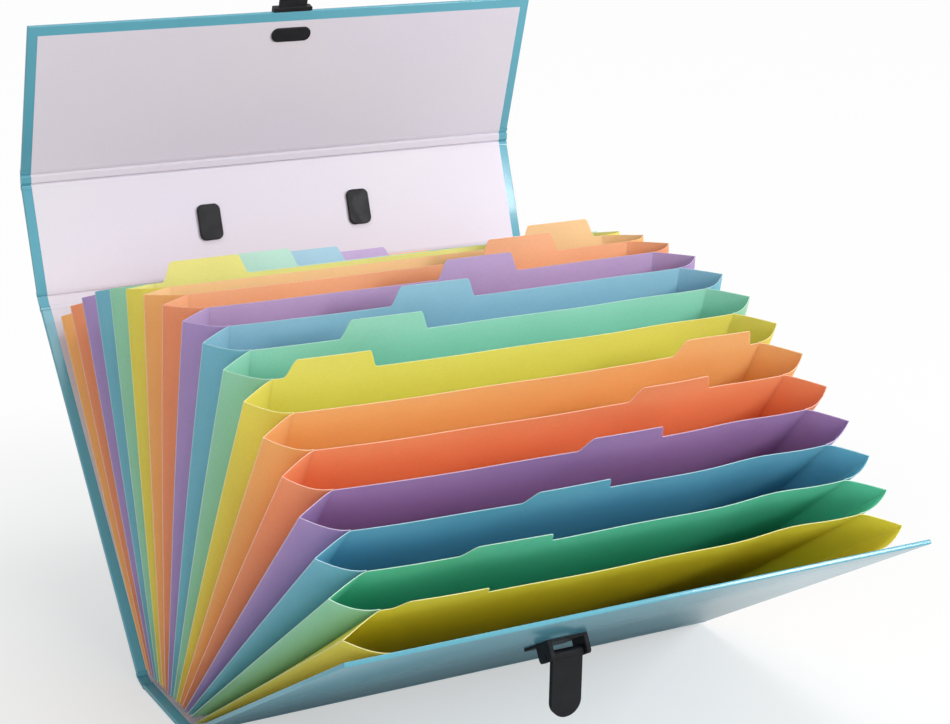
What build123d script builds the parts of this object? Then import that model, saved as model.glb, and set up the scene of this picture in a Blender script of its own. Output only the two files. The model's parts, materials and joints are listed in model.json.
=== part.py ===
from build123d import *
from math import cos, radians, sin, sqrt
import os

# Expanding file case: five papered boards joined by creased strips, eighteen fanned pockets,
# a hasp and lever latch, and a bail handle on the lid. Millimetres, +Z up, +Y towards the back.
# The origin is on the table, under the middle of the base.

# Case sizes
CASE_WIDTH = 332.0
BASE_DEPTH = 61.5
PANEL_HEIGHT = 234.0
FRONT_HEIGHT = 231.0
FLAP_STANDOFF = 5.15
FLAP_LENGTH = 96.0
BOARD = 2.0
WRAP = 0.25
LINING = 0.2
TURN_IN = 6.0
LINING_GAP = 0.1

# Creased strips between the boards
CASE_STRIP = 7.0
LID_STRIP = 6.4
STRIP_THICKNESS = 1.0
CREASE_CLEARANCE = 0.25

# Rest pose: rises are from level, leans are from upright, positive towards the back
BACK_STRIP_RISE = 14.5
BACK_LEAN = 40.8
FRONT_STRIP_RISE = 13.0
FRONT_LEAN = -58.0
LID_STRIP_LEAN = 37.8
LID_LEAN = 20.1
FLAP_STRIP_LEAN = -1.1
FLAP_LEAN = -15.8
CLOSED_CREASE = 45.0
FAN_SKEW = 56.5
FAN_STILL_POINT = 0.44

# Pocket sheets
POCKET_COUNT = 18
COLOURS = ["orange", "coral", "purple", "blue", "green", "yellow"]
SHEET = 0.4
WALL_WIDTH = 274.0
POCKET_DROP = 11.5
FOOT_LIFT = 3.4
FOOT_BEND = 0.5
FIRST_FOOT = 4.0
TAB_HEIGHT = 11.0
TAB_BASE = 48.0
TAB_TOP = 39.0
TAB_PITCH = 42.5
TAB_CORNER = 3.0
TAB_ROOT = 2.0
GUSSET_WIDTH = 24.6
GUSSET_FOOT = 2.0
SHEET_CLEARANCE = 0.4

# Latch
HASP_WIDTH = 25.0
HASP_PLATE = 1.5
HASP_REACH = 20.0
HASP_FLANGE = 2.6
HASP_FLANGE_HEIGHT = 4.4
TONGUE_WIDTH = 18.0
TONGUE_LENGTH = 24.0
TONGUE_THICKNESS = 2.0
TONGUE_CORNER = 4.5
TONGUE_CLEARANCE = 0.45
INNER_PLATE_LENGTH = 26.0
INNER_PLATE_WIDTH = 9.0
INNER_PLATE_THICKNESS = 1.2
INNER_PLATE_EDGE = 14.8
RIVET_RADIUS = 1.5
RIVET_SPACING = 14.0
RIVET_CLEARANCE = 0.1
BRACKET_WIDTH = 24.0
BRACKET_PLATE = 1.5
BRACKET_LENGTH = 29.0
BRACKET_DROP = 5.0
BRACKET_CORNER = 2.0
CHEEK = 2.4
CHEEK_LENGTH = 14.0
CHEEK_COVER = 2.8
CHEEK_ROUND = 2.4
LEVER_WIDTH = 18.0
LEVER_LENGTH = 36.0
LEVER_THICKNESS = 2.8
LEVER_BARREL = 2.6
LEVER_DROP = 5.0
TRUNNION_RADIUS = 1.4
TRUNNION_CLEARANCE = 0.05
TRUNNION_INSET = 0.4
PLASTIC_EDGE = 0.5

# Carrying handle
ANCHOR_SPACING = 102.0
ANCHOR_WIDTH = 15.0
ANCHOR_LENGTH = 22.5
ANCHOR_PLATE = 2.0
PAD_THICKNESS = 2.0
PAD_CORNER = 4.0
PAD_EDGE = 0.6
POST_RADIUS = 2.5
LUG_WIDTH = 6.0
LUG_RADIUS = 4.2
HANDLE_ROD = 2.5
HANDLE_REACH = 29.0
HANDLE_BEND = 7.0
HANDLE_FOOT_BEND = 3.0
GRIP_RADIUS = 4.8
GRIP_LENGTH = 60.0
GRIP_EDGE = 2.0
PIVOT_CLEARANCE = 0.05
HANDLE_FOLDED_GAP = 1.0
HANDLE_SIDE_GAP = 1.0
POST_GAP = 0.1

# Values worked out from the sizes above
SKIN = BOARD / 2 + WRAP
CREASE_EDGE = STRIP_THICKNESS / 2 + CREASE_CLEARANCE
QUARTER_TURN = 90.0
HALF_TURN = 180.0
BASE_LEVEL = SKIN
POCKET_FLOOR = BASE_LEVEL + BOARD / 2 + LINING
FOOT_LEVEL = POCKET_FLOOR + FOOT_LIFT
CLOSED_STEP = CASE_STRIP * cos(radians(CLOSED_CREASE))
CLOSED_LID_STEP = LID_STRIP * cos(radians(CLOSED_CREASE))
LID_DEPTH = BASE_DEPTH + 2 * CLOSED_STEP - 2 * CLOSED_LID_STEP + FLAP_STANDOFF
CLOSED_INSIDE = BASE_DEPTH + 2 * CLOSED_STEP - 2 * SKIN
POCKET_PITCH = CLOSED_INSIDE / POCKET_COUNT
WALL_HEIGHT = PANEL_HEIGHT - POCKET_DROP
WALL_OFFSET = FOOT_BEND + SHEET
FOOT_FOLD = POCKET_PITCH * cos(radians(BACK_LEAN)) - WALL_OFFSET - SHEET_CLEARANCE
TAB_SPREAD = (len(COLOURS) - 1) * TAB_PITCH


def along(point, lean, length):
    """A point further along a line that leans from upright in the side view."""
    return (point[0] + length * sin(radians(lean)), point[1] + length * cos(radians(lean)))


def leaning_plane(point, lean):
    """A plane through a side-view point: local y runs up the panel, local z faces the front."""
    facing = (0, -cos(radians(lean)), sin(radians(lean)))
    return Plane(origin=(0, point[0], point[1]), x_dir=(1, 0, 0), z_dir=facing)


def side_plane(point, lean, x):
    """A plane square to X: local x runs up the panel and local y faces the front."""
    up = (0, sin(radians(lean)), cos(radians(lean)))
    return Plane(origin=(x, point[0], point[1]), x_dir=up, z_dir=(1, 0, 0))


# Creases in the side view, at rest
back_low = (BASE_DEPTH / 2, BASE_LEVEL)
back_high = along(back_low, QUARTER_TURN - BACK_STRIP_RISE, CASE_STRIP)
lid_low = along(back_high, BACK_LEAN, PANEL_HEIGHT)
lid_high = along(lid_low, LID_STRIP_LEAN, LID_STRIP)
flap_low = along(lid_high, LID_LEAN, LID_DEPTH)
flap_high = along(flap_low, FLAP_STRIP_LEAN, LID_STRIP)
front_low = (-BASE_DEPTH / 2, BASE_LEVEL)
front_high = along(front_low, FRONT_STRIP_RISE - QUARTER_TURN, CASE_STRIP)

base_plane = Plane(origin=(0, front_low[0], BASE_LEVEL), x_dir=(1, 0, 0), z_dir=(0, 0, 1))
back_plane = leaning_plane(back_high, BACK_LEAN)
lid_plane = leaning_plane(lid_high, LID_LEAN)
flap_plane = leaning_plane(flap_high, FLAP_LEAN)
front_plane = leaning_plane(front_high, FRONT_LEAN)

# Places of the fittings on their panels, measured up the panel from its crease
INNER_PLATE_PLACE = FLAP_LENGTH - INNER_PLATE_EDGE
TONGUE_START = FLAP_LENGTH + HASP_FLANGE
CLOSED_FLAP_EDGE = PANEL_HEIGHT - FLAP_LENGTH
BRACKET_TOP = CLOSED_FLAP_EDGE - BRACKET_DROP
BRACKET_MIDDLE = BRACKET_TOP - BRACKET_LENGTH / 2
BRACKET_FACE = SKIN + BRACKET_PLATE
LEVER_PIVOT = BRACKET_TOP - LEVER_DROP
LEVER_LEVEL = FLAP_STANDOFF + TONGUE_THICKNESS / 2 + TONGUE_CLEARANCE + LEVER_BARREL
CHEEK_HEIGHT = LEVER_LEVEL + CHEEK_COVER - BRACKET_FACE
RIVET_DEPTH = SKIN + BOARD / 2 + LINING - POST_GAP
RIVETS_IN_FLAP = [(-RIVET_SPACING / 2, INNER_PLATE_PLACE), (RIVET_SPACING / 2, INNER_PLATE_PLACE)]
RIVETS_IN_FRONT = [(-RIVET_SPACING / 2, BRACKET_MIDDLE), (RIVET_SPACING / 2, BRACKET_MIDDLE)]
ANCHOR_PLACE = LID_DEPTH / 2
ANCHOR_PLACES = [(-ANCHOR_SPACING / 2, ANCHOR_PLACE), (ANCHOR_SPACING / 2, ANCHOR_PLACE)]
HANDLE_LEVEL = SKIN + GRIP_RADIUS + HANDLE_FOLDED_GAP
lever_pivot = along(along(front_high, FRONT_LEAN, LEVER_PIVOT), FRONT_LEAN - QUARTER_TURN, LEVER_LEVEL)
handle_pivot = along(along(lid_high, LID_LEAN, ANCHOR_PLACE), LID_LEAN + QUARTER_TURN, HANDLE_LEVEL)


def save(builder, name):
    builder.part.label = name
    export_step(builder.part, f"parts/{name}.step")


def make_panel(name, plane, length, inner, free_end, holes, hole_radius, lined=True):
    """One panel of the case: its board, its outer wrap with turned-in edges, and its lining."""
    low = CREASE_EDGE
    high = length if free_end else length - CREASE_EDGE
    board_high = high - WRAP if free_end else high
    window_high = high - TURN_IN if free_end else high
    window_width = CASE_WIDTH - 2 * TURN_IN
    with BuildPart() as board:
        with BuildSketch(plane.offset(-BOARD / 2)):
            with Locations((0, (low + board_high) / 2)):
                Rectangle(CASE_WIDTH - 2 * WRAP, board_high - low)
            if holes:
                with Locations(*holes):
                    Circle(hole_radius, mode=Mode.SUBTRACT)
        extrude(amount=BOARD)
    save(board, f"{name}_board")
    with BuildPart() as wrap:
        with BuildSketch(plane.offset(-SKIN)):
            with Locations((0, (low + high) / 2)):
                Rectangle(CASE_WIDTH, high - low)
        extrude(amount=2 * SKIN)
        with BuildSketch(plane.offset(-BOARD / 2)):
            with Locations((0, (low + board_high) / 2)):
                Rectangle(CASE_WIDTH - 2 * WRAP, board_high - low)
        extrude(amount=BOARD, mode=Mode.SUBTRACT)
        with BuildSketch(plane.offset(inner * BOARD / 2)):
            with Locations((0, (low + window_high) / 2)):
                Rectangle(window_width, window_high - low)
        extrude(amount=inner * WRAP, mode=Mode.SUBTRACT)
        if holes:
            with BuildSketch(plane.offset(-SKIN)):
                with Locations(*holes):
                    Circle(hole_radius)
            extrude(amount=2 * SKIN, mode=Mode.SUBTRACT)
    save(wrap, f"{name}_wrap")
    if not lined:
        return
    with BuildPart() as lining:
        with BuildSketch(plane.offset(inner * BOARD / 2)):
            with Locations((0, (low + window_high - LINING_GAP) / 2)):
                Rectangle(window_width - 2 * LINING_GAP, window_high - LINING_GAP - low)
            if holes:
                with Locations(*holes):
                    Circle(hole_radius, mode=Mode.SUBTRACT)
        extrude(amount=inner * LINING)
    save(lining, f"{name}_lining")


def make_strip(name, point, lean, length):
    """A creased strip: flat between two creases, with a round edge about each crease."""
    with BuildPart() as strip:
        with BuildSketch(side_plane(point, lean, -CASE_WIDTH / 2)):
            with Locations((length / 2, 0)):
                SlotCenterToCenter(length, STRIP_THICKNESS)
        extrude(amount=CASE_WIDTH)
    save(strip, f"{name}_strip")


def leaf_lean(number):
    """Lean of one pocket wall at rest, from the back panel's lean round to the front panel's."""
    share = (number - 1) / POCKET_COUNT
    skew = FAN_SKEW * share * (1 - share) * (FAN_STILL_POINT - share)
    return BACK_LEAN + share * (FRONT_LEAN - BACK_LEAN) + skew


def leaf_foot(number):
    """Side-view place of the bend at the foot of one pocket wall."""
    if number == 1:
        on_panel = along(back_high, BACK_LEAN, FIRST_FOOT)
        return along(on_panel, BACK_LEAN - QUARTER_TURN, SKIN + WALL_OFFSET)
    first = CLOSED_INSIDE / 2 - WALL_OFFSET
    return (first - (number - 1) * POCKET_PITCH, FOOT_LEVEL)


def leaf_height(number):
    """The first wall is glued on the back panel, so its foot stands a little higher."""
    if number == 1:
        return WALL_HEIGHT + FOOT_LEVEL - BASE_LEVEL - CLOSED_STEP - FIRST_FOOT
    return WALL_HEIGHT


def leaf_name(number):
    return f"pocket_{number:02d}_{COLOURS[(number - 1) % len(COLOURS)]}"


def make_leaf(number):
    """One coloured pocket wall with its index tab, and the fold that closes the pocket's foot."""
    foot, lean, height = leaf_foot(number), leaf_lean(number), leaf_height(number)
    colour = (number - 1) % len(COLOURS)
    tab_middle = TAB_SPREAD / 2 - colour * TAB_PITCH
    with BuildPart() as leaf:
        with BuildSketch(side_plane(foot, lean, -WALL_WIDTH / 2)):
            with BuildLine():
                Polyline(
                    (0, -FOOT_BEND),
                    (height, -FOOT_BEND),
                    (height, -WALL_OFFSET),
                    (0, -WALL_OFFSET),
                )
                CenterArc((0, 0), WALL_OFFSET, HALF_TURN, QUARTER_TURN)
                Polyline(
                    (-WALL_OFFSET, 0),
                    (-WALL_OFFSET, FOOT_FOLD),
                    (-FOOT_BEND, FOOT_FOLD),
                    (-FOOT_BEND, 0),
                )
                CenterArc((0, 0), FOOT_BEND, HALF_TURN, QUARTER_TURN)
            make_face()
        extrude(amount=WALL_WIDTH)
        with BuildSketch(leaning_plane(foot, lean).offset(-WALL_OFFSET)) as tab:
            with BuildLine():
                Polyline(
                    (tab_middle - TAB_BASE / 2, height - TAB_ROOT),
                    (tab_middle - TAB_BASE / 2, height),
                    (tab_middle - TAB_TOP / 2, height + TAB_HEIGHT),
                    (tab_middle + TAB_TOP / 2, height + TAB_HEIGHT),
                    (tab_middle + TAB_BASE / 2, height),
                    (tab_middle + TAB_BASE / 2, height - TAB_ROOT),
                    close=True,
                )
            make_face()
            fillet(tab.vertices().group_by(Axis.Y)[-1], TAB_CORNER)
        extrude(amount=SHEET)
    save(leaf, leaf_name(number))


def pocket_edges(number, share):
    """Side-view points of a pocket's two walls, where its gusset starts and ends, from foot to top."""
    lean = leaf_lean(number)
    rise = GUSSET_FOOT + share * (leaf_height(number) - GUSSET_FOOT)
    on_wall = along(leaf_foot(number), lean, rise)
    start = along(on_wall, lean + QUARTER_TURN, WALL_OFFSET - SHEET / 2)
    if number == POCKET_COUNT:
        rise = FIRST_FOOT + GUSSET_FOOT + share * (leaf_height(1) - GUSSET_FOOT)
        on_panel = along(front_high, FRONT_LEAN, rise)
        end = along(on_panel, FRONT_LEAN + QUARTER_TURN, SKIN + SHEET_CLEARANCE)
        return start, end
    lean = leaf_lean(number + 1)
    rise = GUSSET_FOOT + share * (leaf_height(number + 1) - GUSSET_FOOT)
    on_wall = along(leaf_foot(number + 1), lean, rise)
    end = along(on_wall, lean + QUARTER_TURN, WALL_OFFSET + SHEET_CLEARANCE)
    return start, end


def gusset_section(number, share, side):
    """Plane and corner points of a folded gusset, at one share of its height: a thin chevron."""
    start, end = pocket_edges(number, share)
    gap = (end[0] - start[0], end[1] - start[1])
    half = sqrt(gap[0] ** 2 + gap[1] ** 2) / 2
    middle = (side * WALL_WIDTH / 2, (start[0] + end[0]) / 2, (start[1] + end[1]) / 2)
    outward = Vector(side, 0, 0)
    across = Vector(0, gap[0], gap[1]).normalized()
    plane = Plane(origin=middle, x_dir=outward, z_dir=outward.cross(across))
    reach = sqrt(GUSSET_WIDTH ** 2 - half ** 2)
    edge = SHEET * GUSSET_WIDTH / reach
    fold = SHEET * GUSSET_WIDTH / half
    points = [(0, -half), (reach, 0), (0, half), (0, half - edge), (reach - fold, 0), (0, edge - half)]
    return plane, points


def make_gussets(number):
    """The pair of folding side gussets of one pocket, left and right."""
    with BuildPart() as gussets:
        for side in (-1, 1):
            for share in (0, 1):
                plane, points = gusset_section(number, share, side)
                with BuildSketch(plane):
                    with BuildLine():
                        Polyline(*points, close=True)
                    make_face()
            loft(ruled=True)
    save(gussets, f"gussets_{number:02d}")


def make_hasp():
    """The hasp on the flap: an outer plate with two rivets, an edge flange and a tongue."""
    outer = flap_plane.offset(-SKIN)
    root = FLAP_LENGTH + HASP_FLANGE / 2
    tip = TONGUE_START + TONGUE_LENGTH
    with BuildPart() as hasp:
        with BuildSketch(outer):
            with Locations((0, FLAP_LENGTH - (HASP_REACH - HASP_FLANGE) / 2)):
                RectangleRounded(HASP_WIDTH, HASP_REACH + HASP_FLANGE, PLASTIC_EDGE)
        extrude(amount=-HASP_PLATE)
        with BuildSketch(outer.offset(-HASP_PLATE)):
            with Locations((0, FLAP_LENGTH + CREASE_CLEARANCE + HASP_FLANGE / 2)):
                RectangleRounded(HASP_WIDTH, HASP_FLANGE, PLASTIC_EDGE)
        extrude(amount=HASP_FLANGE_HEIGHT)
        with BuildSketch(flap_plane.offset(-TONGUE_THICKNESS / 2)):
            with BuildLine():
                FilletPolyline(
                    (-TONGUE_WIDTH / 2, root),
                    (-TONGUE_WIDTH / 2, tip),
                    (TONGUE_WIDTH / 2, tip),
                    (TONGUE_WIDTH / 2, root),
                    radius=TONGUE_CORNER,
                )
                Line((TONGUE_WIDTH / 2, root), (-TONGUE_WIDTH / 2, root))
            make_face()
        extrude(amount=TONGUE_THICKNESS)
        with BuildSketch(outer):
            with Locations(*RIVETS_IN_FLAP):
                Circle(RIVET_RADIUS)
        extrude(amount=RIVET_DEPTH)
    save(hasp, "hasp")
    with BuildPart() as plate:
        with BuildSketch(flap_plane.offset(BOARD / 2 + LINING)):
            with Locations((0, INNER_PLATE_PLACE)):
                SlotOverall(INNER_PLATE_LENGTH, INNER_PLATE_WIDTH)
        extrude(amount=INNER_PLATE_THICKNESS)
        inward = Axis((0, 0, 0), flap_plane.z_dir)
        fillet(plate.faces().sort_by(inward)[-1].edges(), PLASTIC_EDGE)
    save(plate, "hasp_inner_plate")


def make_bracket():
    """The latch bracket on the front panel: a base plate with two cheeks and two rivets."""
    outward = Axis((0, 0, 0), front_plane.z_dir)
    cheek_middle = (BRACKET_WIDTH - CHEEK) / 2
    cheek_place = BRACKET_TOP - CHEEK_LENGTH / 2
    with BuildPart() as bracket:
        with BuildSketch(front_plane.offset(SKIN)) as plate:
            with Locations((0, BRACKET_MIDDLE)):
                Rectangle(BRACKET_WIDTH, BRACKET_LENGTH)
            fillet(plate.vertices().group_by(Axis.Y)[0], BRACKET_CORNER)
        extrude(amount=BRACKET_PLATE)
        with BuildSketch(front_plane.offset(BRACKET_FACE)):
            with Locations((-cheek_middle, cheek_place), (cheek_middle, cheek_place)):
                Rectangle(CHEEK, CHEEK_LENGTH)
        extrude(amount=CHEEK_HEIGHT)
        fillet(bracket.edges().filter_by(Axis.X).group_by(outward)[-1], CHEEK_ROUND)
        with BuildSketch(side_plane(front_high, FRONT_LEAN, -BRACKET_WIDTH / 2)):
            with Locations((LEVER_PIVOT, LEVER_LEVEL)):
                Circle(TRUNNION_RADIUS + TRUNNION_CLEARANCE)
        extrude(amount=BRACKET_WIDTH, mode=Mode.SUBTRACT)
        with BuildSketch(front_plane.offset(SKIN)):
            with Locations(*RIVETS_IN_FRONT):
                Circle(RIVET_RADIUS)
        extrude(amount=-RIVET_DEPTH)
    save(bracket, "latch_bracket")


def make_lever():
    """The latch lever, hanging plumb from its trunnions, with a round end."""
    straight = LEVER_LENGTH - LEVER_WIDTH / 2
    with BuildPart() as lever:
        with BuildSketch(leaning_plane(lever_pivot, HALF_TURN).offset(-LEVER_THICKNESS / 2)):
            with BuildLine():
                Polyline(
                    (-LEVER_WIDTH / 2, straight),
                    (-LEVER_WIDTH / 2, 0),
                    (LEVER_WIDTH / 2, 0),
                    (LEVER_WIDTH / 2, straight),
                )
                CenterArc((0, straight), LEVER_WIDTH / 2, 0, HALF_TURN)
            make_face()
        extrude(amount=LEVER_THICKNESS)
        with BuildSketch(side_plane(lever_pivot, HALF_TURN, -LEVER_WIDTH / 2)):
            Circle(LEVER_BARREL)
        extrude(amount=LEVER_WIDTH)
        with BuildSketch(side_plane(lever_pivot, HALF_TURN, TRUNNION_INSET - BRACKET_WIDTH / 2)):
            Circle(TRUNNION_RADIUS)
        extrude(amount=BRACKET_WIDTH - 2 * TRUNNION_INSET)
    save(lever, "latch_lever")


def make_anchors():
    """Two handle anchors on the lid, each with a lug and a post, and the pads that hold them inside."""
    with BuildPart() as anchors:
        with BuildSketch(lid_plane.offset(-SKIN)):
            with Locations(*ANCHOR_PLACES):
                RectangleRounded(ANCHOR_WIDTH, ANCHOR_LENGTH, PAD_CORNER)
        extrude(amount=-ANCHOR_PLATE)
        for middle, place in ANCHOR_PLACES:
            with BuildSketch(side_plane(lid_high, LID_LEAN, middle - LUG_WIDTH / 2)):
                with Locations((place, -(SKIN + HANDLE_LEVEL) / 2)):
                    Rectangle(2 * LUG_RADIUS, HANDLE_LEVEL - SKIN)
                with Locations((place, -HANDLE_LEVEL)):
                    Circle(LUG_RADIUS)
                    Circle(HANDLE_ROD + PIVOT_CLEARANCE, mode=Mode.SUBTRACT)
            extrude(amount=LUG_WIDTH)
        with BuildSketch(lid_plane.offset(-SKIN)):
            with Locations(*ANCHOR_PLACES):
                Circle(POST_RADIUS)
        extrude(amount=RIVET_DEPTH)
        with BuildSketch(lid_plane.offset(BOARD / 2 + LINING)):
            with Locations(*ANCHOR_PLACES):
                RectangleRounded(ANCHOR_WIDTH, ANCHOR_LENGTH, PAD_CORNER)
        extrude(amount=PAD_THICKNESS)
        inward = Axis((0, 0, 0), lid_plane.z_dir)
        pad_faces = anchors.faces().filter_by(inward).sort_by(inward)[-2:]
        fillet(pad_faces.edges(), PAD_EDGE)
    save(anchors, "handle_anchors")


def make_handle():
    """The bail handle, hanging plumb behind the lid: a bent rod with a thick grip."""
    arm = ANCHOR_SPACING / 2 - LUG_WIDTH / 2 - HANDLE_SIDE_GAP - HANDLE_ROD
    pin_end = ANCHOR_SPACING / 2 + LUG_WIDTH / 2
    with BuildPart() as handle:
        with BuildLine(leaning_plane(handle_pivot, HALF_TURN)) as path:
            FilletPolyline(
                (-pin_end, 0),
                (-arm, 0),
                (-arm, HANDLE_REACH),
                (arm, HANDLE_REACH),
                (arm, 0),
                (pin_end, 0),
                radius=[HANDLE_FOOT_BEND, HANDLE_BEND, HANDLE_BEND, HANDLE_FOOT_BEND],
            )
        with BuildSketch(Plane(origin=path.line @ 0, z_dir=path.line % 0)):
            Circle(HANDLE_ROD)
        sweep()
        with BuildSketch(side_plane(handle_pivot, HALF_TURN, -GRIP_LENGTH / 2)):
            with Locations((HANDLE_REACH, 0)):
                Circle(GRIP_RADIUS)
        extrude(amount=GRIP_LENGTH)
        rounds = handle.edges().filter_by(GeomType.CIRCLE)
        grip_ends = rounds.filter_by(lambda edge: abs(edge.radius - GRIP_RADIUS) < PIVOT_CLEARANCE)
        fillet(grip_ends, GRIP_EDGE)
    save(handle, "carry_handle")


os.makedirs("parts", exist_ok=True)

make_panel("base", base_plane, BASE_DEPTH, 1, False, [], 0)
make_panel("back", back_plane, PANEL_HEIGHT, 1, False, [], 0, lined=False)
make_panel("lid", lid_plane, LID_DEPTH, 1, False, ANCHOR_PLACES, POST_RADIUS + RIVET_CLEARANCE)
make_panel("flap", flap_plane, FLAP_LENGTH, 1, True, RIVETS_IN_FLAP, RIVET_RADIUS + RIVET_CLEARANCE)
make_panel("front", front_plane, FRONT_HEIGHT, -1, True, RIVETS_IN_FRONT, RIVET_RADIUS + RIVET_CLEARANCE)

make_strip("back", back_low, QUARTER_TURN - BACK_STRIP_RISE, CASE_STRIP)
make_strip("lid", lid_low, LID_STRIP_LEAN, LID_STRIP)
make_strip("flap", flap_low, FLAP_STRIP_LEAN, LID_STRIP)
make_strip("front", front_low, FRONT_STRIP_RISE - QUARTER_TURN, CASE_STRIP)

for pocket in range(1, POCKET_COUNT + 1):
    make_leaf(pocket)
    make_gussets(pocket)

make_hasp()
make_bracket()
make_lever()
make_anchors()
make_handle()
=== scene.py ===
import json
import random
from math import cos, exp, pi, radians, sin, sqrt

import bmesh
import bpy
from mathutils import Matrix, Vector


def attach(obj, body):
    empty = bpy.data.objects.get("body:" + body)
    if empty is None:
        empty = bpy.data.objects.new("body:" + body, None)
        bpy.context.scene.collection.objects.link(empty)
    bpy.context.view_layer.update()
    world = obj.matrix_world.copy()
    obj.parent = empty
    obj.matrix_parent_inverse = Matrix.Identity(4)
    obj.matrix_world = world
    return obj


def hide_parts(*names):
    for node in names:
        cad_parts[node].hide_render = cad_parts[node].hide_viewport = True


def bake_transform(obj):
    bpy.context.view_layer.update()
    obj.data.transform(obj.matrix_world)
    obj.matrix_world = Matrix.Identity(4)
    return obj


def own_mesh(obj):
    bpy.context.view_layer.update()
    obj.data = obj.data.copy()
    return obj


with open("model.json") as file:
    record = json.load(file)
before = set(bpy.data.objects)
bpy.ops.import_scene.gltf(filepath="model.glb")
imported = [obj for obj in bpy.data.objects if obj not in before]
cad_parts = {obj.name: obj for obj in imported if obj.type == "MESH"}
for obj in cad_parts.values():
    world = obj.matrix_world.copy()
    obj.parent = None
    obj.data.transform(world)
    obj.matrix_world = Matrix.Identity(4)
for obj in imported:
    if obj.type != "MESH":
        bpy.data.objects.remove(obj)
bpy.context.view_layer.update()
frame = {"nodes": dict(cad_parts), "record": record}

# Sizes in metres, the same as the construction's
CASE_WIDTH = 0.332
TURN_IN = 0.006
SKIN = 0.00125
CREASE_EDGE = 0.00075
STRIP_RADIUS = 0.0005
BASE_DEPTH = 0.0615
BACK_LENGTH = 0.234
FLAP_LENGTH = 0.096
FRONT_LENGTH = 0.231
FLAP_LEAN = radians(-15.8)
SHEET = 0.0004
WALL_WIDTH = 0.274
WALL_HEIGHT = 0.2225
FIRST_WALL_HEIGHT = 0.21815
FIRST_FOOT = 0.004
FOOT_BEND = 0.0005
FOOT_FOLD = 0.0016
WALL_OFFSET = FOOT_BEND + SHEET
GUSSET_WIDTH = 0.0246
GUSSET_FOOT = 0.002
TAB_PITCH = 0.0425
TAB_HEIGHT = 0.011
POCKET_COUNT = 18
COLOURS = ["orange", "coral", "purple", "blue", "green", "yellow"]

# Papers, soft edges and pressed creases, in the scene's own sizes
PANEL_EDGE = 0.0006
PANEL_EDGE_STEPS = 3
LINING_THICKNESS = 0.00015
LINING_LEVEL = SKIN + LINING_THICKNESS / 2
LINING_MARGIN = 0.0075
STRIP_SWELL = 0.001
STRIP_INNER = 0.00055
FLAP_STRIP_INNER = 0.0018
STRIP_SHOULDER = 0.0014
FOLD_REACH = 0.003
FOLD_LIFT = 0.00006
FOLD_PAPER = 0.0001
FOLD_SHOULDER = 0.72
FOLD_VALLEY = 0.3
FOLD_VALLEY_PLACE = 0.4
GLUE_GAP = 0.0001
TAB_HALF_FOOT = 0.0255
TAB_HALF_TOP = 0.0195

# How the card stands away from flat
BOW_BACK = 0.0008
BOW_FRONT = 0.0017
BOW_POWER = 1.6
HUMP = 0.0026
HUMP_PLACE = 0.70
HUMP_SPREAD = 0.17
RIPPLE = 0.00025
RIPPLE_TURN = 3 * pi
GUSSET_SOFT_FRONT = 0.5
GUSSET_SOFT_BACK = 0.14
GUSSET_SOFT_LEAST = 0.75
GUSSET_SOFT_MOST = 1.15
GUSSET_STEPS = (0, 0.1, 0.22, 0.36, 0.52, 0.7, 0.86)
GUSSET_FOLD = 0.00025
GUSSET_FOLD_COLUMNS = (len(GUSSET_STEPS), len(GUSSET_STEPS) + 1)
RANDOM_SEED = 18

# Rows and columns of points in the meshes
WALL_ROWS = 19
WALL_COLUMNS = 33
TAB_SIDE_COLUMNS = 9
CLOSEST_COLUMNS = 0.0003
FOOT_ROWS = 4
GUSSET_ROWS = 15
PANEL_ROWS = 9
PANEL_COLUMNS = 25
STRIP_COLUMNS = 13
FOLD_SPAN_COLUMNS = 7

# Colours of the materials, linear: outside of the gussets, then walls at the back of the fan, paler with
# painted light, and walls at the front, deeper with painted shade
CARD_COLOURS = {
    "orange": (0.93, 0.42, 0.13),
    "coral": (0.91, 0.29, 0.13),
    "purple": (0.40, 0.27, 0.53),
    "blue": (0.17, 0.45, 0.57),
    "green": (0.29, 0.62, 0.42),
    "yellow": (0.79, 0.67, 0.09),
}
# Paler wall colours at the back of the fan: painted light
PAINTED_LIGHT_COLOURS = {
    "orange": (0.95, 0.57, 0.28),
    "coral": (0.94, 0.45, 0.24),
    "purple": (0.53, 0.40, 0.66),
    "blue": (0.37, 0.60, 0.72),
    "green": (0.47, 0.74, 0.60),
    "yellow": (0.80, 0.73, 0.21),
}
# Deeper wall colours at the front of the fan: painted shade
PAINTED_SHADE_COLOURS = {
    "orange": (0.95, 0.34, 0.05),
    "coral": (0.92, 0.19, 0.04),
    "purple": (0.28, 0.145, 0.41),
    "blue": (0.03, 0.41, 0.58),
    "green": (0.01, 0.65, 0.38),
    "yellow": (0.88, 0.76, 0.005),
}
# Where the walls go over from painted shade at the front to painted light at the back, and the painted
# light towards their upper edges
PAINTED_SHADE_FRONT = -0.20
PAINTED_LIGHT_BACK = 0.15
PAINTED_TOP_LIGHT_LOW = 0.18
PAINTED_TOP_LIGHT_HIGH = 0.235
PAINTED_TOP_LIGHT = 0.30
EDGE_WHITE = 0.24
LIGHT_THROUGH = 0.5
LIGHT_DEPTH = 0.002
COVER_COLOUR = (0.11, 0.38, 0.48)
LINING_COLOUR = (0.71, 0.665, 0.76)
WARM_LINING_COLOUR = (0.72, 0.68, 0.735)
PLASTIC_COLOUR = (0.010, 0.010, 0.012)

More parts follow.
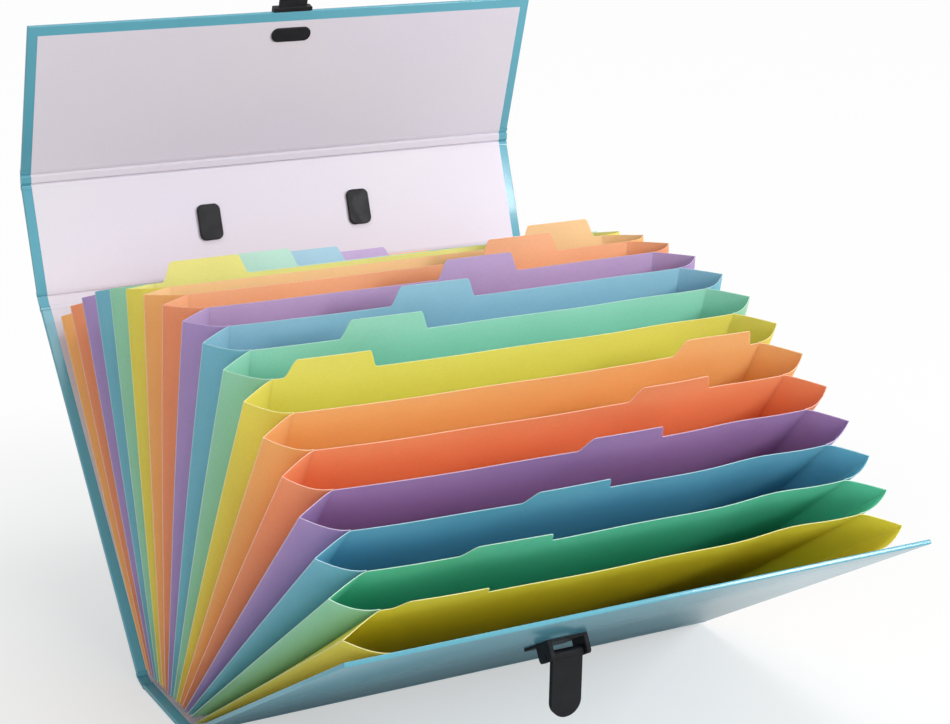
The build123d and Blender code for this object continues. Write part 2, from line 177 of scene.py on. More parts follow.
# Floor, light and camera
FLOOR_HALF = 8.0
FLOOR_LEVEL = -0.0002
FLOOR_COLOUR = (0.92, 0.92, 0.92)
FLOOR_BOUNCE = (0.60, 0.60, 0.60)
GLOW_HALF_WIDTH = 0.18
GLOW_HALF_DEPTH = 0.17
GLOW_MIRRORED = 0.02
GLOW_SEEN = 0.50
GLOW_FAR = 0.97
WORLD_STRENGTH = 0.36
CAMERA_PLACE = (-0.5448, -1.0351, 0.5435)
CAMERA_YAW = radians(28.875)
CAMERA_PITCH = radians(17.358)
CAMERA_ROLL = radians(1.070)
PICTURE_WIDTH_PIXELS = 950
FOCAL_LENGTH_PIXELS = 2192.4
SENSOR_WIDTH_MM = 36

JOINTS = {joint["name"]: joint for joint in frame["record"]["behaviour"]["joints"]}
draw = random.Random(RANDOM_SEED)


def joint_place(name):
    return Vector(JOINTS[name]["pos_m"])


def joint_turn(name):
    """The turn from rest to the end where the case is closed, in radians."""
    return radians(max(JOINTS[name]["range_deg"], key=abs))


BACK_LEAN = joint_turn("back_lower_crease") + joint_turn("back_upper_crease")
FRONT_LEAN = -joint_turn("front_lower_crease") - joint_turn("front_upper_crease")


# Materials
def new_material(name):
    """A material with its principled shader, and the object coordinates that its textures use."""
    material = bpy.data.materials.new(name)
    material.use_nodes = True
    nodes = material.node_tree.nodes
    shader = nodes["Principled BSDF"]
    place = nodes.new("ShaderNodeTexCoord").outputs["Object"]
    return material, shader, place


def link(material, output, socket):
    material.node_tree.links.new(output, socket)


def noise(material, place, scale, detail=2.0, stretch=None):
    """A noise texture over the object, finer in some directions where stretch says so."""
    nodes = material.node_tree.nodes
    texture = nodes.new("ShaderNodeTexNoise")
    texture.inputs["Scale"].default_value = scale
    texture.inputs["Detail"].default_value = detail
    if stretch:
        mapping = nodes.new("ShaderNodeMapping")
        mapping.inputs["Scale"].default_value = stretch
        link(material, place, mapping.inputs["Vector"])
        place = mapping.outputs["Vector"]
    link(material, place, texture.inputs["Vector"])
    return texture.outputs["Fac"]


def spread(material, value, low=0, high=1, start=0.3, end=0.7):
    """Maps a value between a start and an end to a range, and stops at both."""
    node = material.node_tree.nodes.new("ShaderNodeMapRange")
    node.inputs["From Min"].default_value = start
    node.inputs["From Max"].default_value = end
    node.inputs["To Min"].default_value = low
    node.inputs["To Max"].default_value = high
    link(material, value, node.inputs["Value"])
    return node.outputs["Result"]


def colour_mix(material, value):
    """A node that mixes two colours by a value."""
    node = material.node_tree.nodes.new("ShaderNodeMix")
    node.data_type = "RGBA"
    link(material, value, node.inputs["Factor"])
    return node


def tint(material, value, first, second):
    """A colour that goes from one fixed colour to another with a value."""
    node = colour_mix(material, value)
    node.inputs["A"].default_value = (*first, 1)
    node.inputs["B"].default_value = (*second, 1)
    return node.outputs["Result"]


def blend_colours(material, value, first, second):
    """A colour that goes from one colour output to another with a value."""
    node = colour_mix(material, value)
    link(material, first, node.inputs["A"])
    link(material, second, node.inputs["B"])
    return node.outputs["Result"]


def combine(tree, operation, first, second):
    """The result of a maths operation on two values."""
    node = tree.nodes.new("ShaderNodeMath")
    node.operation = operation
    tree.links.new(first, node.inputs[0])
    tree.links.new(second, node.inputs[1])
    return node.outputs["Value"]


def origin_distance(material, place, scale):
    """How far a place is from the origin, with each direction scaled."""
    nodes = material.node_tree.nodes
    scaled = nodes.new("ShaderNodeMapping")
    scaled.inputs["Scale"].default_value = scale
    link(material, place, scaled.inputs["Vector"])
    length = nodes.new("ShaderNodeVectorMath")
    length.operation = "LENGTH"
    link(material, scaled.outputs["Vector"], length.inputs[0])
    return length.outputs["Value"]


def bump(material, shader, height, strength, distance, rounding=None):
    """Fine relief on a surface, whose sharp edges look rounded where a radius is given."""
    node = material.node_tree.nodes.new("ShaderNodeBump")
    if rounding:
        soft = material.node_tree.nodes.new("ShaderNodeBevel")
        soft.samples = 6
        soft.inputs["Radius"].default_value = rounding
        link(material, soft.outputs["Normal"], node.inputs["Normal"])
    node.inputs["Strength"].default_value = strength
    node.inputs["Distance"].default_value = distance
    link(material, height, node.inputs["Height"])
    link(material, node.outputs["Normal"], shader.inputs["Normal"])


def shade(colour, factor):
    return tuple(min(1, part * factor) for part in colour)


def toward_white(colour, share):
    return tuple(part + (1 - part) * share for part in colour)


def card_mottle(material, place, colour):
    """A dyed card's colour with its flecks and a soft mottle."""
    flecks = spread(material, noise(material, place, scale=2600, detail=3), start=0.35, end=0.65)
    clouds = spread(material, noise(material, place, scale=38, detail=3))
    fine = tint(material, flecks, shade(colour, 0.93), toward_white(shade(colour, 1.03), 0.02))
    broad = tint(material, flecks, shade(colour, 0.97), toward_white(shade(colour, 1.06), 0.03))
    return blend_colours(material, clouds, fine, broad)


def card_material(name, colour, painted_light=None):
    """Dyed card: fibres and flecks, a soft mottle and a dull surface with fine tooth.
    The card is thin enough for some light to come through it.
    Where a painted light colour is given, the card goes over to it from the front of the case to the back,
    and somewhat towards its upper edge: painted shade in the front pockets, painted light at the back and
    along the upper edges."""
    material, shader, place = new_material(name)
    mottle = card_mottle(material, place, colour)
    if painted_light:
        # Painted shade at the front of the case going over to painted light at the back, with more painted
        # light towards the upper edge
        parts = material.node_tree.nodes.new("ShaderNodeSeparateXYZ")
        link(material, place, parts.inputs["Vector"])
        depth = spread(material, parts.outputs["Y"], start=PAINTED_SHADE_FRONT, end=PAINTED_LIGHT_BACK)
        reach = origin_distance(material, place, scale=(0, 1, 1))
        edge = spread(material, reach, high=PAINTED_TOP_LIGHT, start=PAINTED_TOP_LIGHT_LOW, end=PAINTED_TOP_LIGHT_HIGH)
        share = spread(material, combine(material.node_tree, "ADD", depth, edge), start=0, end=1)
        mottle = blend_colours(material, share, mottle, card_mottle(material, place, painted_light))
    link(material, mottle, shader.inputs["Base Color"])
    tooth = noise(material, place, scale=3200, detail=4)
    link(material, spread(material, tooth, low=0.62, high=0.82), shader.inputs["Roughness"])
    shader.inputs["Specular IOR Level"].default_value = 0.35
    shader.inputs["Subsurface Weight"].default_value = LIGHT_THROUGH
    shader.inputs["Subsurface Radius"].default_value = (1, 1, 1)
    shader.inputs["Subsurface Scale"].default_value = LIGHT_DEPTH
    fibres = noise(material, place, scale=1500, detail=4, stretch=(1, 0.6, 0.6))
    bump(material, shader, fibres, strength=0.22, distance=0.00012)
    return material


def cover_material():
    """Laminated cover paper: a glossy film with faint orange peel over mottled print."""
    material, shader, place = new_material("cover_paper")
    clouds = spread(material, noise(material, place, scale=26, detail=4))
    print_colour = tint(material, clouds, shade(COVER_COLOUR, 0.97), shade(COVER_COLOUR, 1.03))
    link(material, print_colour, shader.inputs["Base Color"])
    smears = noise(material, place, scale=60, detail=5, stretch=(0.3, 1, 1))
    link(material, spread(material, smears, low=0.20, high=0.225), shader.inputs["Roughness"])
    shader.inputs["Specular IOR Level"].default_value = 0.32
    shader.inputs["Coat Weight"].default_value = 0.18
    shader.inputs["Coat Roughness"].default_value = 0.08
    bump(material, shader, noise(material, place, scale=420), strength=0.012, distance=0.0001)
    return material


def lining_material():
    """Pale lavender lining paper, satin, with a faint drift of hue and a fine tooth."""
    material, shader, place = new_material("lining_paper")
    drift = spread(material, noise(material, place, scale=9))
    grain = spread(material, noise(material, place, scale=1400, detail=3))
    cool = tint(material, grain, shade(LINING_COLOUR, 0.97), shade(LINING_COLOUR, 1.02))
    warm = tint(material, grain, shade(WARM_LINING_COLOUR, 0.98), shade(WARM_LINING_COLOUR, 1.02))
    link(material, blend_colours(material, drift, cool, warm), shader.inputs["Base Color"])
    link(material, spread(material, grain, low=0.42, high=0.55), shader.inputs["Roughness"])
    shader.inputs["Specular IOR Level"].default_value = 0.4
    bump(material, shader, noise(material, place, scale=900, detail=4), strength=0.12, distance=0.0001)
    return material


def plastic_material():
    """Black moulded plastic with a fine spark texture and faint rub marks."""
    material, shader, place = new_material("black_plastic")
    rub = spread(material, noise(material, place, scale=120, detail=5))
    rubbed = tint(material, rub, shade(PLASTIC_COLOUR, 0.8), shade(PLASTIC_COLOUR, 1.5))
    link(material, rubbed, shader.inputs["Base Color"])
    link(material, spread(material, rub, low=0.44, high=0.60), shader.inputs["Roughness"])
    shader.inputs["Specular IOR Level"].default_value = 0.2
    sparks = noise(material, place, scale=2600)
    bump(material, shader, sparks, strength=0.25, distance=0.0001, rounding=0.0006)
    return material


CARDS = {}
WALL_CARDS = {}
CARD_EDGES = {}
for colour_name in COLOURS:
    card_colour = CARD_COLOURS[colour_name]
    CARDS[colour_name] = card_material(f"{colour_name}_card", card_colour)
    # The walls, the gussets' inner faces and the last pocket's front carry painted shade at the front of
    # the fan and painted light at the back
    painted_shade_colour, painted_light_colour = PAINTED_SHADE_COLOURS[colour_name], PAINTED_LIGHT_COLOURS[colour_name]
    WALL_CARDS[colour_name] = card_material(f"{colour_name}_wall_card", painted_shade_colour, painted_light_colour)
    edge_colour = toward_white(card_colour, EDGE_WHITE)
    CARD_EDGES[colour_name] = card_material(f"{colour_name}_card_edge", edge_colour)
COVER = cover_material()
LINING = lining_material()
PLASTIC = plastic_material()


# Meshes of thin sheets
class SheetMesh:
    """Points and faces of one piece, with a material number for each face."""

    def __init__(self):
        self.points = []
        self.faces = []
        self.finishes = []

    def face(self, corners, finish):
        self.faces.append(corners)
        self.finishes.append(finish)

    def sheet(self, rows, thickness, finish=0, rim=1, edge_columns=(), back=None):
        """A closed sheet of even thickness round a grid of points, with a finish for its cut edges.
        Where back is given, it says the finish of each face of the sheet's back."""
        row_count, column_count = len(rows), len(rows[0])
        first = len(self.points)
        for lift in (thickness / 2, -thickness / 2):
            for r in range(row_count):
                for c in range(column_count):
                    self.points.append(rows[r][c] + lift * grid_normal(rows, r, c))
        under = row_count * column_count

        def at(r, c, below=False):
            return first + r * column_count + c + (under if below else 0)

        for r in range(row_count - 1):
            for c in range(column_count - 1):
                front = rim if c in edge_columns else finish
                self.face((at(r, c), at(r, c + 1), at(r + 1, c + 1), at(r + 1, c)), front)
                corners = (at(r, c), at(r + 1, c), at(r + 1, c + 1), at(r, c + 1))
                behind = back(r, c) if back else front
                self.face(tuple(corner + under for corner in corners), behind)
        for c in range(column_count - 1):
            self.face((at(0, c), at(0, c, True), at(0, c + 1, True), at(0, c + 1)), rim)
            end = row_count - 1
            self.face((at(end, c), at(end, c + 1), at(end, c + 1, True), at(end, c, True)), rim)
        for r in range(row_count - 1):
            self.face((at(r, 0), at(r + 1, 0), at(r + 1, 0, True), at(r, 0, True)), rim)
            end = column_count - 1
            self.face((at(r, end), at(r, end, True), at(r + 1, end, True), at(r + 1, end)), rim)

    def piece(self, name, materials, sharp=35):
        """The finished object, smooth but for its edges."""
        mesh = bpy.data.meshes.new(name)
        mesh.from_pydata([tuple(point) for point in self.points], [], self.faces)
        for material in materials:
            mesh.materials.append(material)
        mesh.polygons.foreach_set("material_index", self.finishes)
        mesh.shade_smooth()
        mesh.set_sharp_from_angle(angle=radians(sharp))
        mesh.update()
        piece = bpy.data.objects.new(name, mesh)
        bpy.context.scene.collection.objects.link(piece)
        return piece


def grid_normal(rows, r, c):
    """The normal of a grid of points at one of them."""
    before, after = rows[r][max(c - 1, 0)], rows[r][min(c + 1, len(rows[r]) - 1)]
    below, above = rows[max(r - 1, 0)][c], rows[min(r + 1, len(rows) - 1)][c]
    return (after - before).cross(above - below).normalized()


def even(start, end, count):
    """Evenly spaced numbers, both ends included."""
    return [start + (end - start) * step / (count - 1) for step in range(count)]


def smooth(value):
    """Zero below 0, one above 1, and a soft S between."""
    value = min(1, max(0, value))
    return value * value * (3 - 2 * value)


# Pocket walls
def lean_axes(lean):
    """Up along a leaning sheet, and out of its front face."""
    return Vector((0, sin(lean), cos(lean))), Vector((0, -cos(lean), sin(lean)))


def leaf_body(number):
    return "back_panel" if number == 1 else f"pocket_{number:02d}"


def leaf_colour(number):
    return COLOURS[(number - 1) % len(COLOURS)]


def leaf_frame(number):
    """Foot point, lean and height of one pocket wall."""
    if number > 1:
        joint = f"pocket_{number:02d}_foot"
        return joint_place(joint), joint_turn(joint), WALL_HEIGHT
    up, out = lean_axes(BACK_LEAN)
    foot = joint_place("back_upper_crease") + FIRST_FOOT * up + (SKIN + WALL_OFFSET) * out
    return foot, BACK_LEAN, FIRST_WALL_HEIGHT


def tab_rise(x, middle):
    """Height of the index tab above the wall's edge, with soft shoulders."""
    share = (TAB_HALF_FOOT - abs(x - middle)) / (TAB_HALF_FOOT - TAB_HALF_TOP)
    return TAB_HEIGHT * smooth(share)


def leaf_columns(middle):
    """Places across a wall: even ones, and close ones on the two sides of its tab."""
    columns = set(even(-WALL_WIDTH / 2, WALL_WIDTH / 2, WALL_COLUMNS))
    for side in (-1, 1):
        for reach in even(TAB_HALF_TOP, TAB_HALF_FOOT, TAB_SIDE_COLUMNS):
            columns.add(middle + side * reach)
    ordered = sorted(columns)
    kept = [ordered[0]]
    for place in ordered[1:]:
        if place - kept[-1] > CLOSEST_COLUMNS:
            kept.append(place)
    return kept


def make_leaf(number):
    """One pocket wall: a bowed sheet of card with its tab and the fold at its foot.
    Its back is the lined front of the pocket behind it, in that pocket's colour."""
    foot, lean, height = leaf_frame(number)
    up, out = lean_axes(lean)
    colour = (number - 1) % len(COLOURS)
    middle = ((len(COLOURS) - 1) / 2 - colour) * TAB_PITCH
    forward = (number - 1) / (POCKET_COUNT - 1)
    bow = BOW_BACK + (BOW_FRONT - BOW_BACK) * forward
    phase = draw.uniform(0, 2 * pi)
    ripple = RIPPLE * draw.uniform(0.5, 1)
    bend = FOOT_BEND + SHEET / 2
    columns = leaf_columns(middle)

    def away(x, rise):
        """How far the wall stands in front of flat, at a place across it and a height."""
        across = 2 * x / WALL_WIDTH
        held = 1 - across ** 4
        wave = ripple * (sin(RIPPLE_TURN * across + phase) + 1) * (1 - across ** 2)
        hump = HUMP * forward ** 2 * exp(-((across - HUMP_PLACE) / HUMP_SPREAD) ** 2)
        return max(0, rise / height) ** BOW_POWER * (bow * held + wave - hump * held)

    rows = [[foot + x * Vector((1, 0, 0)) - bend * up + FOOT_FOLD * out for x in columns]]
    for turn in even(0, pi / 2, FOOT_ROWS):
        place = -bend * cos(turn) * up - bend * sin(turn) * out
        rows.append([foot + Vector((x, 0, 0)) + place for x in columns])
    for share in even(0, 1, WALL_ROWS)[1:]:
        row = []
        for x in columns:
            rise = share * (height + tab_rise(x, middle))
            row.append(foot + Vector((x, 0, 0)) + rise * up + (away(x, rise) - bend) * out)
        rows.append(row)
    top = len(rows) - 2

    def back_finish(r, c):
        """The wall's own colour behind its tab, and the colour of the pocket behind it elsewhere."""
        on_tab = r == top and tab_rise((columns[c] + columns[c + 1]) / 2, middle) > 0
        return 0 if on_tab else 2

    sheet = SheetMesh()
    sheet.sheet(rows, SHEET, back=back_finish)
    name = leaf_colour(number)
    behind = WALL_CARDS[leaf_colour(max(1, number - 1))]
    leaf = sheet.piece(f"wall_{number:02d}_{name}", [WALL_CARDS[name], CARD_EDGES[name], behind])
    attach(leaf, leaf_body(number))
    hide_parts(f"pocket_{number:02d}_{name}")


# Gussets
def gusset_ends(number, share):
    """Where a gusset starts on its own wall and ends on the next one, at a share of its height."""
    foot, lean, height = leaf_frame(number)
    up, out = lean_axes(lean)
    rise = GUSSET_FOOT + share * (height - GUSSET_FOOT)
    start = foot + rise * up - (WALL_OFFSET - SHEET / 2) * out
    if number == POCKET_COUNT:
        up, out = lean_axes(FRONT_LEAN)
        rise = FIRST_FOOT + GUSSET_FOOT + share * (FIRST_WALL_HEIGHT - GUSSET_FOOT)
        return start, joint_place("front_upper_crease") + rise * up - (SKIN + SHEET) * out
    foot, lean, height = leaf_frame(number + 1)
    up, out = lean_axes(lean)
    rise = GUSSET_FOOT + share * (height - GUSSET_FOOT)
    return start, foot + rise * up - (WALL_OFFSET + SHEET / 2 + GLUE_GAP) * out


def curve_point(first, second, third, share):
    """A point on the curve from the first point to the third, drawn towards the second."""
    return first.lerp(second, share).lerp(second.lerp(third, share), share)


def gusset_row(number, side, share, soft):
    """Points across a folded gusset at one share of its height, from its wall round to the next.
    The card leaves both walls in line with them and curves to the fold at the tip."""
    start, end = gusset_ends(number, share)
    half = (end - start).length / 2
    outward = Vector((side, 0, 0))
    reach = sqrt(GUSSET_WIDTH ** 2 - half ** 2)
    edge = outward * WALL_WIDTH / 2
    tip = (start + end) / 2 + edge + reach * outward
    steps = (*GUSSET_STEPS, 1 - GUSSET_FOLD / GUSSET_WIDTH)
    own, following = start + edge, end + edge
    own_pull = own + soft * GUSSET_SOFT_BACK * reach * outward
    following_pull = following + soft * GUSSET_SOFT_FRONT * reach * outward
    row = [curve_point(own, own_pull, tip, step) for step in steps]
    row.append(tip)
    row.extend(curve_point(following, following_pull, tip, step) for step in reversed(steps))
    return row if side > 0 else row[::-1]


def make_gussets(number):
    """The two folding sides of one pocket, built as they stand open; on the real case they flatten as the
    fan closes.
    """

    def outer_finish(r, c):
        """The paler edge along the fold at the tip, and the gusset's own colour elsewhere."""
        return 1 if c in GUSSET_FOLD_COLUMNS else 2

    sheet = SheetMesh()
    for side in (-1, 1):
        soft = draw.uniform(GUSSET_SOFT_LEAST, GUSSET_SOFT_MOST)
        rows = [gusset_row(number, side, share, soft) for share in even(0, 1, GUSSET_ROWS)]
        sheet.sheet(rows, SHEET, edge_columns=GUSSET_FOLD_COLUMNS, back=outer_finish)
    name = leaf_colour(number)
    finishes = [WALL_CARDS[name], CARD_EDGES[name], CARDS[name]]
    gussets = sheet.piece(f"folded_sides_{number:02d}", finishes)
    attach(gussets, leaf_body(number))
    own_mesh(gussets)
    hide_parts(f"gussets_{number:02d}")


for pocket in range(1, POCKET_COUNT + 1):
    make_leaf(pocket)
    make_gussets(pocket)


# Case panels
def carrying_body(name):
    """The body that carries a panel."""
    return name if name in ("base", "lid", "flap") else f"{name}_panel"


def panel_frame(name):
    """A panel's crease point, the direction up the panel, the direction into the case, and its length."""
    if name == "base":
        return joint_place("front_lower_crease"), Vector((0, 1, 0)), Vector((0, 0, 1)), BASE_DEPTH
    place = joint_place(f"{name}_upper_crease")
    if name == "lid":
        reach = joint_place("flap_lower_crease") - place
        up = reach.normalized()
        return place, up, Vector((1, 0, 0)).cross(up), reach.length
    lean = {"back": BACK_LEAN, "flap": FLAP_LEAN, "front": FRONT_LEAN}[name]
    length = {"back": BACK_LENGTH, "flap": FLAP_LENGTH, "front": FRONT_LENGTH}[name]
    up, out = lean_axes(lean)
    return place, up, -out if name == "front" else out, length


def rounded_slab(name, origin, axes, low, high, material, sharp=50):
    """A slab between two corners in its own axes, with all its edges rounded."""
    shape = bmesh.new()
    bmesh.ops.create_cube(shape, size=1)
    size = [top - bottom for bottom, top in zip(low, high)]
    middle = [(top + bottom) / 2 for bottom, top in zip(low, high)]
    for vertex in shape.verts:
        vertex.co = Vector(part * side + centre for part, side, centre in zip(vertex.co, size, middle))
    bmesh.ops.bevel(
        shape,
        geom=list(shape.edges),
        offset=PANEL_EDGE,
        segments=PANEL_EDGE_STEPS,
        profile=0.5,
        affect="EDGES",
    )
    turn = Matrix(axes).transposed().to_4x4()
    shape.transform(Matrix.Translation(origin) @ turn)
    mesh = bpy.data.meshes.new(name)
    shape.to_mesh(mesh)
    shape.free()
    mesh.materials.append(material)
    mesh.shade_smooth()
    mesh.set_sharp_from_angle(angle=radians(sharp))
    piece = bpy.data.objects.new(name, mesh)
    bpy.context.scene.collection.objects.link(piece)
    return piece


def make_cover(name, free_end):
    """The cover paper of one panel, wrapped round its board with soft edges."""
    origin, up, inward, length = panel_frame(name)
    body = carrying_body(name)
    side = up.cross(inward)
    high = length if free_end else length - CREASE_EDGE
    piece = rounded_slab(
        f"{name}_cover",
        origin,
        (side, up, inward),
        (-CASE_WIDTH / 2, CREASE_EDGE, -SKIN),
        (CASE_WIDTH / 2, high, SKIN),
        COVER,
    )
    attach(piece, body)
    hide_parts(f"{name}_wrap", f"{name}_board")


def panel_rows(name, level, left, right, low, high):
    """A grid of points over part of a panel, at a level above its middle."""
    origin, up, inward = panel_frame(name)[:3]
    rows = []
    for rise in even(low, high, PANEL_ROWS):
        start = origin + rise * up + level * inward
        rows.append([start + Vector((x, 0, 0)) for x in even(left, right, PANEL_COLUMNS)])
    return rows


def make_lining(name, free_end):
    """The lining paper of one panel, pasted over the turned-in edge of the cover paper."""
    length = panel_frame(name)[-1]
    body = carrying_body(name)
    half = CASE_WIDTH / 2 - TURN_IN
    high = length - TURN_IN if free_end else length - CREASE_EDGE
    sheet = SheetMesh()
    sheet.sheet(panel_rows(name, LINING_LEVEL, -half, half, CREASE_EDGE, high), LINING_THICKNESS)
    piece = sheet.piece(f"{name}_lining_sheet", [LINING, LINING])
    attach(piece, body)
    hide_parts(f"{name}_lining")


for panel in ("base", "back", "lid", "flap", "front"):
    ends_free = panel in ("flap", "front")
    make_cover(panel, ends_free)
    if panel != "back":
        make_lining(panel, ends_free)


def make_back_lining():
    """What shows of the lining of the back panel, above the first pocket wall and beside it."""
    half, beside = CASE_WIDTH / 2 - TURN_IN, WALL_WIDTH / 2 + LINING_MARGIN
    above, high = FIRST_FOOT + FIRST_WALL_HEIGHT + SHEET, BACK_LENGTH - CREASE_EDGE
    areas = [
        (-half, half, above, high),
        (-half, -beside, CREASE_EDGE, above),
        (beside, half, CREASE_EDGE, above),
    ]
    sheet = SheetMesh()
    for area in areas:
        sheet.sheet(panel_rows("back", LINING_LEVEL, *area), LINING_THICKNESS)
    piece = sheet.piece("back_lining_sheet", [LINING, LINING])
    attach(piece, "back_panel")


def make_front_facing():
    """The last pocket's own front, pasted on the lining of the front panel."""
    half = WALL_WIDTH / 2 - SHEET
    level = SKIN + LINING_THICKNESS + SHEET / 2
    low, high = FIRST_FOOT + GUSSET_FOOT, FIRST_FOOT + FIRST_WALL_HEIGHT
    sheet = SheetMesh()
    sheet.sheet(panel_rows("front", level, -half, half, low, high), SHEET)
    name = leaf_colour(POCKET_COUNT)
    piece = sheet.piece(f"pocket_front_{name}", [WALL_CARDS[name], CARD_EDGES[name]])
    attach(piece, "front_panel")


make_back_lining()
make_front_facing()


# Creased strips
def strip_frame(name):
    """The direction up a strip, the direction into the case, the strip's lower crease and its length."""
    low, high = joint_place(f"{name}_lower_crease"), joint_place(f"{name}_upper_crease")
    along = (high - low).normalized()
    inside = 1 if name == "front" else -1
    return along, inside * along.cross(Vector((1, 0, 0))), low, (high - low).length


def make_strip(name, inner):
    """A creased strip, a little swollen: cover paper outside and at its ends, lining paper inside."""
    along, inward, low, length = strip_frame(name)
    rises = [0, STRIP_SHOULDER / 3, 2 * STRIP_SHOULDER / 3, STRIP_SHOULDER]
    rises += [length - rise for rise in reversed(rises)]
    profile = []
    for face in (1, -1):
        face_rises = rises if face > 0 else rises[::-1]
        for rise in face_rises:
            swell = smooth(min(rise, length - rise) / STRIP_SHOULDER)
            full = inner if face > 0 else STRIP_SWELL
            thick = STRIP_RADIUS + (full - STRIP_RADIUS) * swell
            profile.append(low + rise * along + face * thick * inward)
    half, window = CASE_WIDTH / 2, CASE_WIDTH / 2 - TURN_IN
    places = [-half, -window, *even(-window, window, STRIP_COLUMNS)[1:-1], window, half]
    strip = SheetMesh()
    for x in places:
        strip.points.extend(point + Vector((x, 0, 0)) for point in profile)
    count = len(profile)
    for section in range(len(places) - 1):
        for corner in range(count):
            following = (corner + 1) % count
            first, second = section * count, (section + 1) * count
            lined = 0 < section < len(places) - 2 and corner < len(rises) - 1
            corners = (first + corner, first + following, second + following, second + corner)
            strip.face(corners, 1 if lined else 0)
    strip.face(tuple(range(count))[::-1], 0)
    last = (len(places) - 1) * count
    strip.face(tuple(last + corner for corner in range(count)), 0)
    piece = strip.piece(f"{name}_crease_strip", [COVER, LINING])
    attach(piece, f"{name}_crease")
    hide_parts(f"{name}_strip")


def fold_line(place, face, panel_up, strip_up, panel_in, strip_in):
    """The line across a pressed crease, from one face of a panel down to that of its strip."""
    over = SKIN + FOLD_LIFT + (LINING_THICKNESS if face > 0 else 0)
    under = STRIP_RADIUS + FOLD_LIFT
    shoulder = under + FOLD_SHOULDER * (over - under)
    valley = under + FOLD_VALLEY * (over - under)
    return [
        place + FOLD_REACH * panel_up + face * over * panel_in,
        place + FOLD_REACH / 2 * panel_up + face * over * panel_in,
        place + CREASE_EDGE * panel_up + face * shoulder * panel_in,
        place + FOLD_VALLEY_PLACE * CREASE_EDGE * panel_up + face * valley * panel_in,
        place + face * under * strip_in,
        place + STRIP_SHOULDER / 3 * strip_up + face * (under + 0.1 * STRIP_RADIUS) * strip_in,
    ]


def make_fold(name, panel_up, strip_up, panel_in, strip_in):
    """Cover and lining paper pressed into one crease, from a panel's faces down to its strip's."""
    place = joint_place(f"{name}_crease")
    half, window = CASE_WIDTH / 2, CASE_WIDTH / 2 - TURN_IN
    inner = fold_line(place, 1, panel_up, strip_up, panel_in, strip_in)
    outer = fold_line(place, -1, panel_up, strip_up, panel_in, strip_in)
    spans = [(inner, -half, -window, 0), (inner, -window, window, 1), (inner, window, half, 0)]
    spans.append((outer, -half, half, 0))
    fold = SheetMesh()
    for line, left, right, finish in spans:
        rows = [[point + Vector((x, 0, 0)) for x in even(left, right, FOLD_SPAN_COLUMNS)] for point in line]
        fold.sheet(rows, FOLD_PAPER, finish=finish, rim=finish)
    piece = fold.piece(f"{name}_fold", [COVER, LINING], sharp=60)
    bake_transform(piece)


def make_folds(name, below, above):
    """The two pressed creases of one strip, towards the panel below it and the panel above it."""
    along, strip_in = strip_frame(name)[:2]
    up, inward = panel_frame(below)[1:3]
    below_up = up if name == "front" else -up
    make_fold(f"{name}_lower", below_up, along, inward, strip_in)
    up, inward = panel_frame(above)[1:3]
    make_fold(f"{name}_upper", up, -along, inward, strip_in)


make_strip("back", STRIP_INNER)
make_strip("lid", STRIP_INNER)
make_strip("flap", FLAP_STRIP_INNER)
make_strip("front", STRIP_INNER)
make_folds("back", "base", "back")
make_folds("front", "base", "front")
make_folds("lid", "back", "lid")
make_folds("flap", "lid", "flap")


# Black plastic on the pieces carried over from the construction
for carried in frame["nodes"].values():
    if carried.hide_render:
        continue
    for material_slot in carried.material_slots:
        material_slot.material = PLASTIC


# Studio
def seen_rays(tree):
    """One for camera rays, and one for glossy and transmission rays: zero for rays that carry light."""
    path = tree.nodes.new("ShaderNodeLightPath")
    glossy, through = path.outputs["Is Glossy Ray"], path.outputs["Is Transmission Ray"]
    return path.outputs["Is Camera Ray"], combine(tree, "MAXIMUM", glossy, through)


def make_floor():
    """A wide pale floor that looks white away from the object and keeps its shadow near it."""
    mesh = bpy.data.meshes.new("floor")
    sides = [(-1, -1), (1, -1), (1, 1), (-1, 1)]
    corners = [(FLOOR_HALF * x, FLOOR_HALF * y, FLOOR_LEVEL) for x, y in sides]
    mesh.from_pydata(corners, [], [(0, 1, 2, 3)])
    material, shader, place = new_material("pale_floor")
    tree = material.node_tree
    camera, mirrored = seen_rays(tree)
    grain = spread(material, noise(material, place, scale=6, detail=3))
    lit = tint(material, grain, shade(FLOOR_BOUNCE, 0.99), shade(FLOOR_BOUNCE, 1.01))
    pale = tint(material, grain, shade(FLOOR_COLOUR, 0.99), shade(FLOOR_COLOUR, 1.01))
    link(material, blend_colours(material, camera, lit, pale), shader.inputs["Base Color"])
    shader.inputs["Roughness"].default_value = 0.9
    shader.inputs["Specular IOR Level"].default_value = 0.1
    away = origin_distance(material, place, scale=(1 / GLOW_HALF_WIDTH, 1 / GLOW_HALF_DEPTH, 0))
    near = spread(material, away, low=GLOW_MIRRORED, high=GLOW_FAR, start=0.85, end=1.35)
    wide = spread(material, away, low=GLOW_SEEN, high=GLOW_FAR, start=0.8, end=3.2)
    share = combine(
        tree,
        "MAXIMUM",
        combine(tree, "MULTIPLY", camera, wide),
        combine(tree, "MULTIPLY", mirrored, near),
    )
    glow = tree.nodes.new("ShaderNodeEmission")
    mix = tree.nodes.new("ShaderNodeMixShader")
    tree.links.new(share, mix.inputs["Fac"])
    tree.links.new(shader.outputs["BSDF"], mix.inputs[1])
    tree.links.new(glow.outputs["Emission"], mix.inputs[2])
    tree.links.new(mix.outputs["Shader"], tree.nodes["Material Output"].inputs["Surface"])
    mesh.materials.append(material)
    floor = bpy.data.objects.new("floor", mesh)
    bpy.context.scene.collection.objects.link(floor)


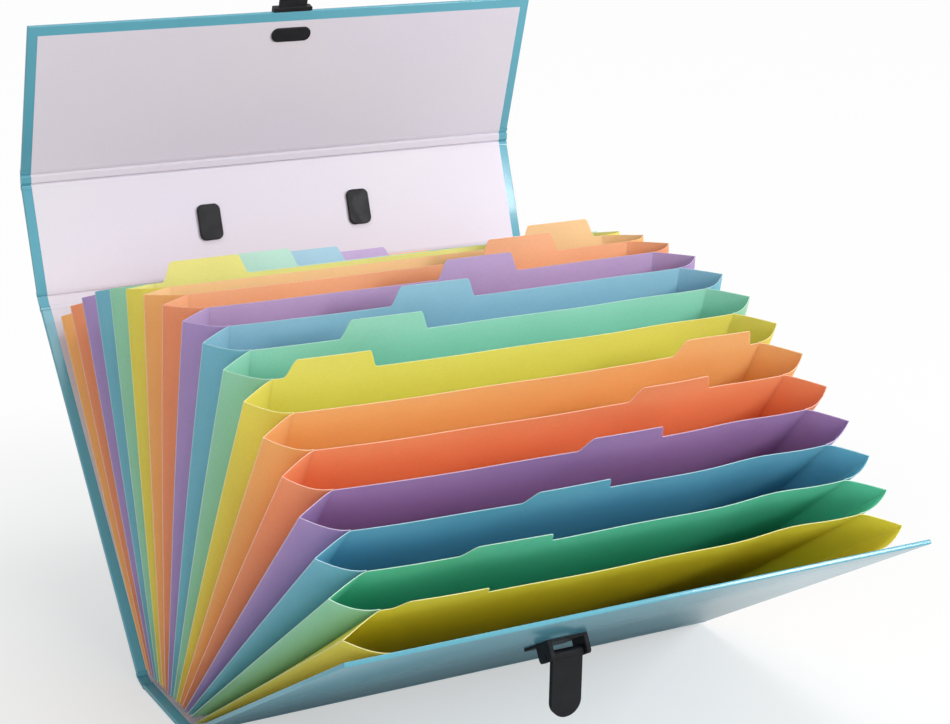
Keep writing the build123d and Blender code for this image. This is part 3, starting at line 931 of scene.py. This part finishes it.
def make_world(strength):
    """Even light from all round, behind a background that looks white."""
    world = bpy.data.worlds.new("studio")
    bpy.context.scene.world = world
    world.use_nodes = True
    tree = world.node_tree
    ambient = tree.nodes["Background"]
    ambient.inputs["Color"].default_value = (1, 1, 1, 1)
    ambient.inputs["Strength"].default_value = strength
    white = tree.nodes.new("ShaderNodeBackground")
    white.inputs["Color"].default_value = (1, 1, 1, 1)
    white.inputs["Strength"].default_value = 1
    mix = tree.nodes.new("ShaderNodeMixShader")
    camera, mirrored = seen_rays(tree)
    tree.links.new(combine(tree, "MAXIMUM", camera, mirrored), mix.inputs["Fac"])
    tree.links.new(ambient.outputs["Background"], mix.inputs[1])
    tree.links.new(white.outputs["Background"], mix.inputs[2])
    tree.links.new(mix.outputs["Shader"], tree.nodes["World Output"].inputs["Surface"])


def make_lamp(name, place, target, size, power):
    """A square soft box that faces a point."""
    lamp = bpy.data.lights.new(name, "AREA")
    lamp.size = size
    lamp.energy = power
    piece = bpy.data.objects.new(name, lamp)
    turn = (Vector(target) - Vector(place)).to_track_quat("-Z", "Y").to_matrix().to_4x4()
    piece.matrix_world = Matrix.Translation(place) @ turn
    bpy.context.scene.collection.objects.link(piece)


def make_camera():
    """The camera of the photograph, worked out from the panels' corners in it."""
    heading = Vector((sin(CAMERA_YAW), cos(CAMERA_YAW), 0))
    forward = cos(CAMERA_PITCH) * heading - Vector((0, 0, sin(CAMERA_PITCH)))
    level = Vector((cos(CAMERA_YAW), -sin(CAMERA_YAW), 0))
    upright = level.cross(forward)
    right = cos(CAMERA_ROLL) * level + sin(CAMERA_ROLL) * upright
    up = cos(CAMERA_ROLL) * upright - sin(CAMERA_ROLL) * level
    lens = bpy.data.cameras.new("camera")
    lens.sensor_fit = "HORIZONTAL"
    lens.sensor_width = SENSOR_WIDTH_MM
    lens.lens = SENSOR_WIDTH_MM * FOCAL_LENGTH_PIXELS / PICTURE_WIDTH_PIXELS
    camera = bpy.data.objects.new("camera", lens)
    turn = Matrix((right, up, -forward)).transposed().to_4x4()
    camera.matrix_world = Matrix.Translation(CAMERA_PLACE) @ turn
    bpy.context.scene.collection.objects.link(camera)
    bpy.context.scene.camera = camera


make_floor()
make_world(WORLD_STRENGTH)
make_lamp("key", place=(1.3, -1.25, 0.95), target=(0.05, 0, 0.15), size=0.6, power=26.5)
make_lamp("fill", place=(-1.4, -1.5, 0.5), target=(0, 0, 0.15), size=1.3, power=15)
make_lamp("top", place=(0.3, -0.2, 2.3), target=(0, 0, 0.1), size=1.0, power=14)
make_camera()
bpy.context.scene.view_settings.view_transform = "Standard"
